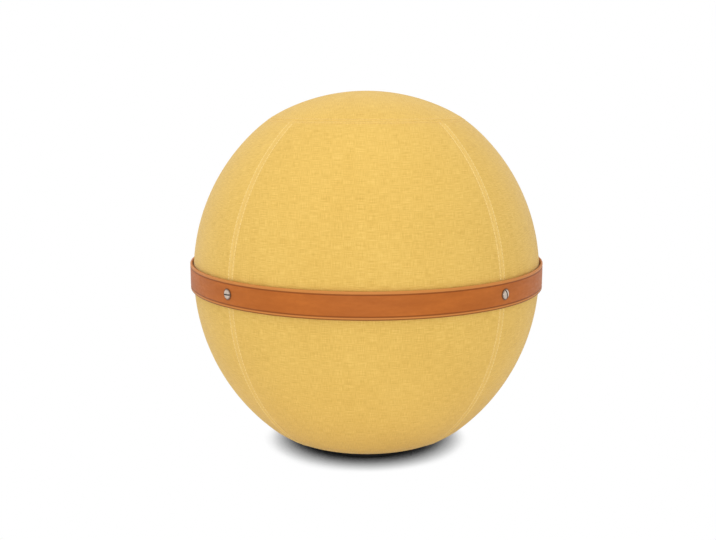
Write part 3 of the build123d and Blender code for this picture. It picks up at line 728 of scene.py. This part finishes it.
def cover_panel(name, middle_angle):
    """A quarter of the side of the cover, with its edges drawn down into the seams."""
    low_seam = next(key for key, angle in SEAM_ANGLES.items() if angle == (middle_angle - 45) % 360)
    high_seam = next(key for key, angle in SEAM_ANGLES.items() if angle == (middle_angle + 45) % 360)
    travel = panel_rows(ZIP_SEAM in (low_seam, high_seam))[:, None]
    radius, height, out_r, out_z = along_arcs(side_arcs, travel)
    half = radius * pi / 4
    low_edge = -half + edge_inset(low_seam, travel)
    high_edge = half - edge_inset(high_seam, travel)
    low_end = low_edge + NEAR_SEAM[-1]
    high_end = high_edge - NEAR_SEAM[-1]
    share = np.linspace(0, 1, PANEL_COLUMNS)[None, :]
    middle = low_end + (high_end - low_end) * share
    near = NEAR_SEAM[None, :-1]
    across = np.concatenate([low_edge + near, middle, high_edge - near[:, ::-1]], 1)
    from_low = across - low_edge
    from_high = high_edge - across
    phase = radians(middle_angle)
    rise = seam_relief(from_low) + seam_relief(from_high) + seam_relief(travel) + corner_ease(travel)
    rise = rise + seam_relief(side_length - travel)
    rise = rise + pucker(from_low, travel, phase) + pucker(from_high, travel, phase + 1.7)
    rise = rise + pucker(travel, across, phase + 0.6)
    turn = radians(middle_angle) + across / radius
    points = around_axis(radius + out_r * rise, height + out_z * rise, turn)
    rows, columns = across.shape
    uv = np.stack([across, -travel + 0 * across], -1).reshape(-1, 2)
    faces = [face[::-1] for face in grid_faces(rows, columns)]
    # The pale band beside the seams, partly a painted highlight on the seam ridge
    strain_and_ridge_highlight = strain_and_highlight_beside(np.minimum(from_low, from_high))
    strain_and_ridge_highlight = np.maximum(strain_and_ridge_highlight, CAP_SEAM_STRAIN_AND_HIGHLIGHT * strain_and_highlight_beside(travel))
    panel = mesh_object(f"panel_{name}", points.reshape(-1, 3), faces, FABRIC, uv, strain_and_ridge_highlight=strain_and_ridge_highlight)
    thicken(panel, COVER_THICKNESS)
    settle(panel, [f"cover_panel_{name}"])


def cover_cap():
    """The round top of the cover."""
    rest = np.linspace(NEAR_SEAM[-1], cap_arc.length, CAP_ROWS)[:-1]
    travel = np.concatenate([NEAR_SEAM[:-1], rest])[:, None]
    radius, height, out_r, out_z = along_arcs([cap_arc], travel)
    turn = (np.arange(CAP_SEGMENTS) * tau / CAP_SEGMENTS)[None, :]
    rise = seam_relief(travel) + corner_ease(travel) + pucker(travel, turn * CAP_SEAM_RADIUS, 0.4)
    points = around_axis(radius + out_r * rise, height + out_z * rise, turn).reshape(-1, 3)
    rows = len(travel)
    points = np.concatenate([points, [[0, 0, crown_height]]])
    uv = points[:, :2]
    faces = grid_faces(rows, CAP_SEGMENTS, True)
    last = (rows - 1) * CAP_SEGMENTS
    for segment in range(CAP_SEGMENTS):
        faces.append((last + segment, last + (segment + 1) % CAP_SEGMENTS, len(points) - 1))
    # The pale band beside the cap seam, partly a painted highlight on the seam ridge
    strain_and_ridge_highlight = np.append(np.repeat(CAP_SEAM_STRAIN_AND_HIGHLIGHT * strain_and_highlight_beside(travel[:, 0]), CAP_SEGMENTS), 0)
    cap = mesh_object("top_cap", points, faces, FABRIC, uv, strain_and_ridge_highlight=strain_and_ridge_highlight)
    thicken(cap, COVER_THICKNESS)
    settle(cap, ["cover_top_cap"])


def thread_tube(path, outward, points, faces):
    """Add one stitch: a short tube along a path that dips into the cloth at both ends."""
    sides = 6
    start = len(points)
    count = len(path)
    for index in range(count):
        ahead = path[min(index + 1, count - 1)] - path[max(index - 1, 0)]
        ahead = ahead / np.linalg.norm(ahead)
        across = np.cross(ahead, outward)
        across = across / np.linalg.norm(across)
        up = np.cross(across, ahead)
        for side in range(sides):
            angle = tau * side / sides
            points.append(path[index] + THREAD_RADIUS * (cos(angle) * across + sin(angle) * up))
    for index in range(count - 1):
        for side in range(sides):
            after = (side + 1) % sides
            low = start + index * sides
            faces.append((low + side, low + after, low + sides + after, low + sides + side))
    faces.append(tuple(start + side for side in reversed(range(sides))))
    faces.append(tuple(start + (count - 1) * sides + side for side in range(sides)))


ARCH = STITCH_ARCH * np.sin(pi * np.linspace(0.06, 0.94, STITCH_POINTS)) - STITCH_SINK
STITCH_MIDDLE = STITCH_POINTS // 2


def seam_stitches(seam):
    """Twin rows of stitches beside an upright seam, left out under the belt."""
    points = []
    faces = []
    pitch = STITCH_LENGTH + STITCH_GAP
    first = STITCH_OFFSET + STITCH_GAP
    count = int((side_length - 2 * first) / pitch)
    for side, stagger in ((-1, 0.0), (1, 0.5)):
        for index in range(count):
            travel = first + (index + stagger) * pitch + np.linspace(0, STITCH_LENGTH, STITCH_POINTS)
            path, out_r, out_z, turn = beside_seam(seam, side, travel, STITCH_OFFSET, ARCH)
            if belt_bottom < path[STITCH_MIDDLE][2] < belt_top:
                continue
            lean, rise, angle = out_r[STITCH_MIDDLE], out_z[STITCH_MIDDLE], turn[STITCH_MIDDLE]
            outward = np.array([lean * cos(angle), lean * sin(angle), rise])
            thread_tube(path, outward, points, faces)
    stitches = mesh_object(f"stitching_{seam}", points, faces, THREAD)
    settle(stitches)


def cap_stitches():
    """A row of stitches each side of the cap seam."""
    points = []
    faces = []
    pitch = STITCH_LENGTH + STITCH_GAP
    for arcs in ([cap_arc], side_arcs):
        radius, height, out_r, out_z = (float(value) for value in along_arcs(arcs, STITCH_OFFSET))
        count = int(tau * radius / pitch)
        for index in range(count):
            turn = (index + np.linspace(0, STITCH_LENGTH / pitch, STITCH_POINTS)) * tau / count
            rise = seam_relief(STITCH_OFFSET) + corner_ease(STITCH_OFFSET) + ARCH
            path = around_axis(radius + out_r * rise, height + out_z * rise, turn)
            angle = turn[STITCH_MIDDLE]
            outward = np.array([out_r * cos(angle), out_r * sin(angle), out_z])
            thread_tube(path, outward, points, faces)
    stitches = mesh_object("stitching_cap", points, faces, CAP_THREAD)
    settle(stitches)


# Belt

STRAP_STEPS = 420


def strap_section(thickness, half, roundness, crease_depth):
    """Outline of a strap across its width: (outward, up) points, going round, creased by each edge."""
    face = thickness - roundness
    section = quarter_turn(face, -half + roundness, roundness, -pi / 2)
    crease = half - CREASE_INSET
    beside = np.linspace(-2.4, 2.4, 9) * CREASE_HALF_WIDTH
    between = np.linspace(-crease * 0.75, crease * 0.75, 9)
    for z in np.concatenate([-crease + beside, between, crease + beside]):
        groove = crease_depth * np.exp(-(((abs(z) - crease) / CREASE_HALF_WIDTH) ** 2))
        section.append((thickness - groove, z))
    section += quarter_turn(face, half - roundness, roundness, 0)
    section += quarter_turn(roundness, half - roundness, roundness, pi / 2)
    section += quarter_turn(roundness, -half + roundness, roundness, pi)
    return np.array(section)


def belt_strap():
    """One strap round the ball, which climbs over its own start at a rear seam to a rounded tip."""
    section = strap_section(STRAP_THICKNESS, half_width, STRAP_EDGE_ROUND, CREASE_DEPTH)
    reach = STRAP_INNER + STRAP_THICKNESS
    to_end = np.geomspace(0.2 * MM, STRAP_TIP_ROUND, 12)
    tip = strap_turn - np.concatenate([to_end[::-1], [0]]) / reach
    turn = np.concatenate([np.linspace(0, tip[0], STRAP_STEPS)[:-1], tip])[:, None]
    climb = smooth_step((turn - tau + OVERLAP_RAMP / reach) * reach / OVERLAP_RAMP) * OVERLAP_RISE
    from_tip = np.clip((strap_turn - turn) * reach, 0, STRAP_TIP_ROUND)
    drawn_in = STRAP_TIP_ROUND - np.sqrt(STRAP_TIP_ROUND**2 - (STRAP_TIP_ROUND - from_tip) ** 2)
    width = (half_width - drawn_in) / half_width
    radius = STRAP_INNER + climb + section[:, 0][None, :]
    height = belt_height + width * section[:, 1][None, :]
    points = around_axis(radius, height, strap_start + turn)
    rows, columns = radius.shape
    faces = grid_faces(rows, columns, True)
    faces.append(tuple(reversed(range(columns))))
    faces.append(tuple((rows - 1) * columns + column for column in range(columns)))
    uv = np.stack([turn * reach + 0 * radius, section[:, 1][None, :] + 0 * radius], -1).reshape(-1, 2)
    strap = mesh_object("strap", points.reshape(-1, 3), faces, LEATHER, uv, "Strap")
    settle(strap, ["belt_strap"])


def belt_lining():
    """The suede ring between the strap and the cover."""
    low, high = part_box("belt_lining")
    outer = high.x
    inner = BALL_RADIUS + LINING_GAP
    profile = rounded_profile(inner, outer, low.z, high.z, LINING_EDGE_ROUND)
    lining = lathe("lining", profile, SUEDE)
    settle(lining, ["belt_lining"])


def screw_mesh(name):
    """A domed head and a short shank, along +X from its seat, the slot yet to be cut."""
    dome = (SCREW_HEAD_RADIUS**2 + SCREW_HEAD_HEIGHT**2) / (2 * SCREW_HEAD_HEIGHT)
    rim = SCREW_HEAD_RADIUS - SCREW_RIM_ROUND
    full = asin(rim / dome)
    profile = [(-SCREW_SHANK_LENGTH, 0), (-SCREW_SHANK_LENGTH, SCREW_SHANK_RADIUS), (0, SCREW_SHANK_RADIUS)]
    profile += [(0, rim), (0.3 * SCREW_RIM_ROUND, SCREW_HEAD_RADIUS - 0.3 * SCREW_RIM_ROUND)]
    profile += [(SCREW_RIM_ROUND, SCREW_HEAD_RADIUS)]
    base = SCREW_HEAD_HEIGHT - dome
    steps = 9
    for step in range(steps):
        angle = full * (1 - step / steps)
        profile.append((base + dome * cos(angle) + SCREW_DOME_LIFT, dome * sin(angle)))
    profile.append((SCREW_HEAD_HEIGHT + SCREW_DOME_LIFT, 0))
    segments = 48
    points = []
    for x, radius in profile:
        for segment in range(segments):
            angle = tau * segment / segments
            points.append((x, radius * cos(angle), radius * sin(angle)))
    faces = grid_faces(len(profile), segments, True)
    screw = mesh_object(name, points, faces, SCREW_NICKEL)
    work = bmesh.new()
    work.from_mesh(screw.data)
    bmesh.ops.remove_doubles(work, verts=work.verts, dist=0.001 * MM)
    bmesh.ops.recalc_face_normals(work, faces=work.faces)
    work.to_mesh(screw.data)
    work.free()
    return screw


def slot_cutter():
    """The bar that cuts the slot, centred on the height of the head."""
    size = (2 * SCREW_SLOT_DEPTH, 3 * SCREW_HEAD_RADIUS, SCREW_SLOT_WIDTH)
    mesh = bpy.data.meshes.new("slot")
    work = bmesh.new()
    place = Matrix.Translation((SCREW_HEAD_HEIGHT, 0, 0)) @ Matrix.Diagonal((*size, 1))
    bmesh.ops.create_cube(work, size=1.0, matrix=place)
    work.to_mesh(mesh)
    work.free()
    return placed("slot", mesh)


def belt_screws():
    """The slotted heads on the belt, one at each seam."""
    half_slot = 0.5 * SCREW_SLOT_WIDTH
    floor_of_slot = SCREW_HEAD_HEIGHT - SCREW_SLOT_DEPTH
    for seam, angle in SEAM_ANGLES.items():
        screw = screw_mesh(f"screw_{seam}")
        cutter = slot_cutter()
        cut = screw.modifiers.new("slot", "BOOLEAN")
        cut.operation = "DIFFERENCE"
        cut.object = cutter
        cut.solver = "EXACT"
        ease_edges(screw, SCREW_EDGE_EASE, 40)
        bpy.context.view_layer.update()
        applied(screw)
        bpy.data.objects.remove(cutter)
        # The slot's walls and floor take the painted shade of the slot
        screw.data.materials.append(SLOT_SHADE)
        for face in screw.data.polygons:
            aside = abs(face.center.z)
            on_floor = abs(face.center.x - floor_of_slot) < SLOT_TOLERANCE
            on_wall = abs(aside - half_slot) < SLOT_TOLERANCE and abs(face.normal.z) > 0.9
            if on_wall or (on_floor and aside < half_slot - SLOT_TOLERANCE):
                face.material_index = 1
        # The rim attribute carries the painted reflection and shade towards the head's edge
        rim = screw.data.attributes.new("rim", "FLOAT", "POINT")
        reach = [hypot(vertex.co.y, vertex.co.z) / SCREW_HEAD_RADIUS for vertex in screw.data.vertices]
        rim.data.foreach_set("value", reach)
        seat = STRAP_INNER + STRAP_THICKNESS + SNUG_GAP
        if seam == OVERLAP_SEAM:
            seat += OVERLAP_RISE
        turn = Matrix.Rotation(radians(SLOT_TURNS[seam]), 4, "X")
        place = Matrix.Rotation(radians(angle), 4, "Z") @ Matrix.Translation((seat, 0, belt_height))
        screw.data.transform(place @ turn)
        shade(screw.data, True)
        settle(screw, ["belt_screws"])


# Zip and base


def side_strip(name, first, last, low, high, material, rows=90):
    """A tape that follows the inside of the cover at the zip, between two distances across the seam."""
    travel = np.linspace(first, last, rows)[:, None]
    radius, height, out_r, out_z = along_arcs(side_arcs, travel)
    across = np.array([low, low, high, high])[None, :]
    bottom = ZIP_TAPE_DEPTH + ZIP_TAPE_THICKNESS
    deep = np.array([ZIP_TAPE_DEPTH, bottom, bottom, ZIP_TAPE_DEPTH])[None, :]
    angle = radians(SEAM_ANGLES[ZIP_SEAM])
    out = radius - out_r * deep
    points = np.stack(
        [
            out * cos(angle) - across * sin(angle),
            out * sin(angle) + across * cos(angle),
            height - out_z * deep,
        ],
        -1,
    )
    faces = grid_faces(rows, 4, True)
    faces.append((3, 2, 1, 0))
    end = (rows - 1) * 4
    faces.append((end, end + 1, end + 2, end + 3))
    strip = mesh_object(name, points.reshape(-1, 3), faces, material)
    work = bmesh.new()
    work.from_mesh(strip.data)
    bmesh.ops.recalc_face_normals(work, faces=work.faces)
    work.to_mesh(strip.data)
    work.free()
    shade(strip.data, False)
    return strip


def zip_tapes():
    """The two woven tapes that carry the teeth."""
    first = upper_length + ZIP_TAPE_START
    last = upper_length + ZIP_TAPE_END
    for side, name in ((-1, "right"), (1, "left")):
        low, high = sorted((side * ZIP_TAPE_INNER, side * ZIP_TAPE_OUTER))
        tape = side_strip(f"zip_{name}", first, last, low, high, ZIP_TAPE)
        settle(tape, [f"zip_tape_{name}"])


def zip_hardware():
    """Teeth, stops, slider and pull with their edges eased."""
    for side in ("right", "left"):
        teeth = softened(f"zip_teeth_{side}", f"teeth_{side}", ZIP_TEETH, TEETH_EASE)
        settle(teeth, [f"zip_teeth_{side}"])
    stops = softened("zip_stops", "stops", ZIP_METAL, ZIP_METAL_EASE)
    settle(stops, ["zip_stops"])
    slider = softened("zip_slider", "slider", ZIP_METAL, ZIP_METAL_EASE)
    settle(slider, ["zip_slider"], "zip_slider")
    pull = softened("zip_pull", "pull", ZIP_METAL, PULL_EASE)
    settle(pull, ["zip_pull"], "zip_pull")


def base_binding():
    """The folded tape between the hem and the sole."""
    low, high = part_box("base_binding")
    profile = rounded_profile(high.x - BINDING_WIDTH, high.x, low.z, high.z, BINDING_EDGE_ROUND)
    binding = lathe("binding", profile, BINDING)
    settle(binding, ["base_binding"])


def dress_solids():
    """Finishes for the solids that stay."""
    finishes = {
        "base_sole": RUBBER,
        "air_bladder": VINYL,
        "valve_plug": PLUG,
        "ballast_bag": CANVAS,
        "ballast_pocket": CANVAS,
        "belt_posts": NICKEL,
        "belt_patches": SUEDE,
        "cap_seam_tape": INNER_TAPE,
    }
    for seam in SEAM_ANGLES:
        finishes[f"seam_tape_{seam}"] = INNER_TAPE
    for node, material in finishes.items():
        nodes[node].data.materials.clear()
        nodes[node].data.materials.append(material)


# Studio


def larger(tree, first, second):
    """The larger of two nodes' values."""
    node = tree.nodes.new("ShaderNodeMath")
    node.operation = "MAXIMUM"
    tree.links.new(first, node.inputs[0])
    tree.links.new(second, node.inputs[1])
    return node.outputs[0]


def blended(tree, share, first, second):
    """Two shaders, the second one's share given."""
    node = tree.nodes.new("ShaderNodeMixShader")
    for source, socket in zip((share, first, second), node.inputs):
        tree.links.new(source, socket)
    return node.outputs[0]


def floor():
    """A pale floor, white to the camera but for a contact shadow, which is leant as by a light in front."""
    finish = bpy.data.materials.new("pale floor")
    finish.use_nodes = True
    tree = finish.node_tree
    tree.nodes.clear()
    path = tree.nodes.new("ShaderNodeLightPath")
    seen = larger(tree, path.outputs["Is Camera Ray"], path.outputs["Is Glossy Ray"])
    plain = tree.nodes.new("ShaderNodeBsdfDiffuse")
    plain.inputs["Color"].default_value = (FLOOR_WHITE, FLOOR_WHITE, FLOOR_WHITE, 1)
    open_sky = tree.nodes.new("ShaderNodeAmbientOcclusion")
    open_sky.samples = 32
    open_sky.inputs["Distance"].default_value = SHADOW_REACH
    towards_light = tree.nodes.new("ShaderNodeCombineXYZ")
    towards_light.inputs["Y"].default_value = SHADOW_LEAN_Y
    towards_light.inputs["Z"].default_value = SHADOW_LEAN_Z
    tree.links.new(towards_light.outputs[0], open_sky.inputs["Normal"])
    level = tree.nodes.new("ShaderNodeMapRange")
    level.inputs["From Min"].default_value = DARKEST_OPENNESS
    level.inputs["From Max"].default_value = CLEAR_OPENNESS
    level.inputs["To Min"].default_value = DARKEST_SHADOW
    level.inputs["To Max"].default_value = 1.0
    tree.links.new(open_sky.outputs["AO"], level.inputs["Value"])
    bright = tree.nodes.new("ShaderNodeEmission")
    tree.links.new(level.outputs["Result"], bright.inputs["Color"])
    mix = blended(tree, seen, plain.outputs[0], bright.outputs[0])
    out = tree.nodes.new("ShaderNodeOutputMaterial")
    tree.links.new(mix, out.inputs["Surface"])
    size = FLOOR_SIZE
    corners = [(-2 * size, -size, 0), (2 * size, -size, 0), (0, 3 * size, 0)]
    ground = mesh_object("floor", corners, [(0, 1, 2)], finish)


def world():
    """Even light from all round, white where it is seen directly or mirrored."""
    sky = bpy.data.worlds.new("studio")
    bpy.context.scene.world = sky
    sky.use_nodes = True
    tree = sky.node_tree
    tree.nodes.clear()
    path = tree.nodes.new("ShaderNodeLightPath")
    mirrored = larger(tree, path.outputs["Is Glossy Ray"], path.outputs["Is Transmission Ray"])
    seen = larger(tree, path.outputs["Is Camera Ray"], mirrored)
    ambient = tree.nodes.new("ShaderNodeBackground")
    ambient.inputs["Color"].default_value = (1, 1, 1, 1)
    ambient.inputs["Strength"].default_value = AMBIENT_STRENGTH
    white = tree.nodes.new("ShaderNodeBackground")
    white.inputs["Color"].default_value = (1, 1, 1, 1)
    white.inputs["Strength"].default_value = 1.0
    mix = blended(tree, seen, ambient.outputs[0], white.outputs[0])
    out = tree.nodes.new("ShaderNodeOutputWorld")
    tree.links.new(mix, out.inputs["Surface"])


def soft_lamp(name, place, width, height, power):
    """An oval area lamp, aimed at the middle of the ball."""
    lamp = bpy.data.lights.new(name, "AREA")
    lamp.shape = "ELLIPSE"
    lamp.size = width
    lamp.size_y = height
    lamp.energy = power
    obj = placed(name, lamp)
    obj.location = place
    aim = Vector((0, 0, equator_height)) - Vector(place)
    obj.rotation_euler = aim.to_track_quat("-Z", "Y").to_euler()


def camera():
    """The photograph's viewpoint: in front of the ball, a little above its middle."""
    data = bpy.data.cameras.new("camera")
    data.lens = CAMERA_LENS
    data.shift_x, data.shift_y = CAMERA_SHIFT
    obj = placed("camera", data)
    middle = Vector((0, 0, equator_height))
    sight = Vector((0, -cos(CAMERA_ELEVATION), sin(CAMERA_ELEVATION)))
    obj.location = middle + CAMERA_DISTANCE * sight
    obj.rotation_euler = (middle - obj.location).to_track_quat("-Z", "Y").to_euler()
    bpy.context.scene.camera = obj


dress_solids()
cover_cap()
for panel_name, panel_angle in PANEL_ANGLES.items():
    cover_panel(panel_name, panel_angle)
for seam_name in SEAM_ANGLES:
    seam_stitches(seam_name)
cap_stitches()
belt_strap()
belt_lining()
belt_screws()
zip_tapes()
zip_hardware()
base_binding()

camera()
world()
floor()
soft_lamp("top", place=(-0.35, -0.75, 2.55), width=1.4, height=1.4, power=17)
soft_lamp("front", place=(0, -2.4, 0.36), width=2.4, height=0.6, power=8.0)
bpy.context.scene.view_settings.view_transform = "Standard"
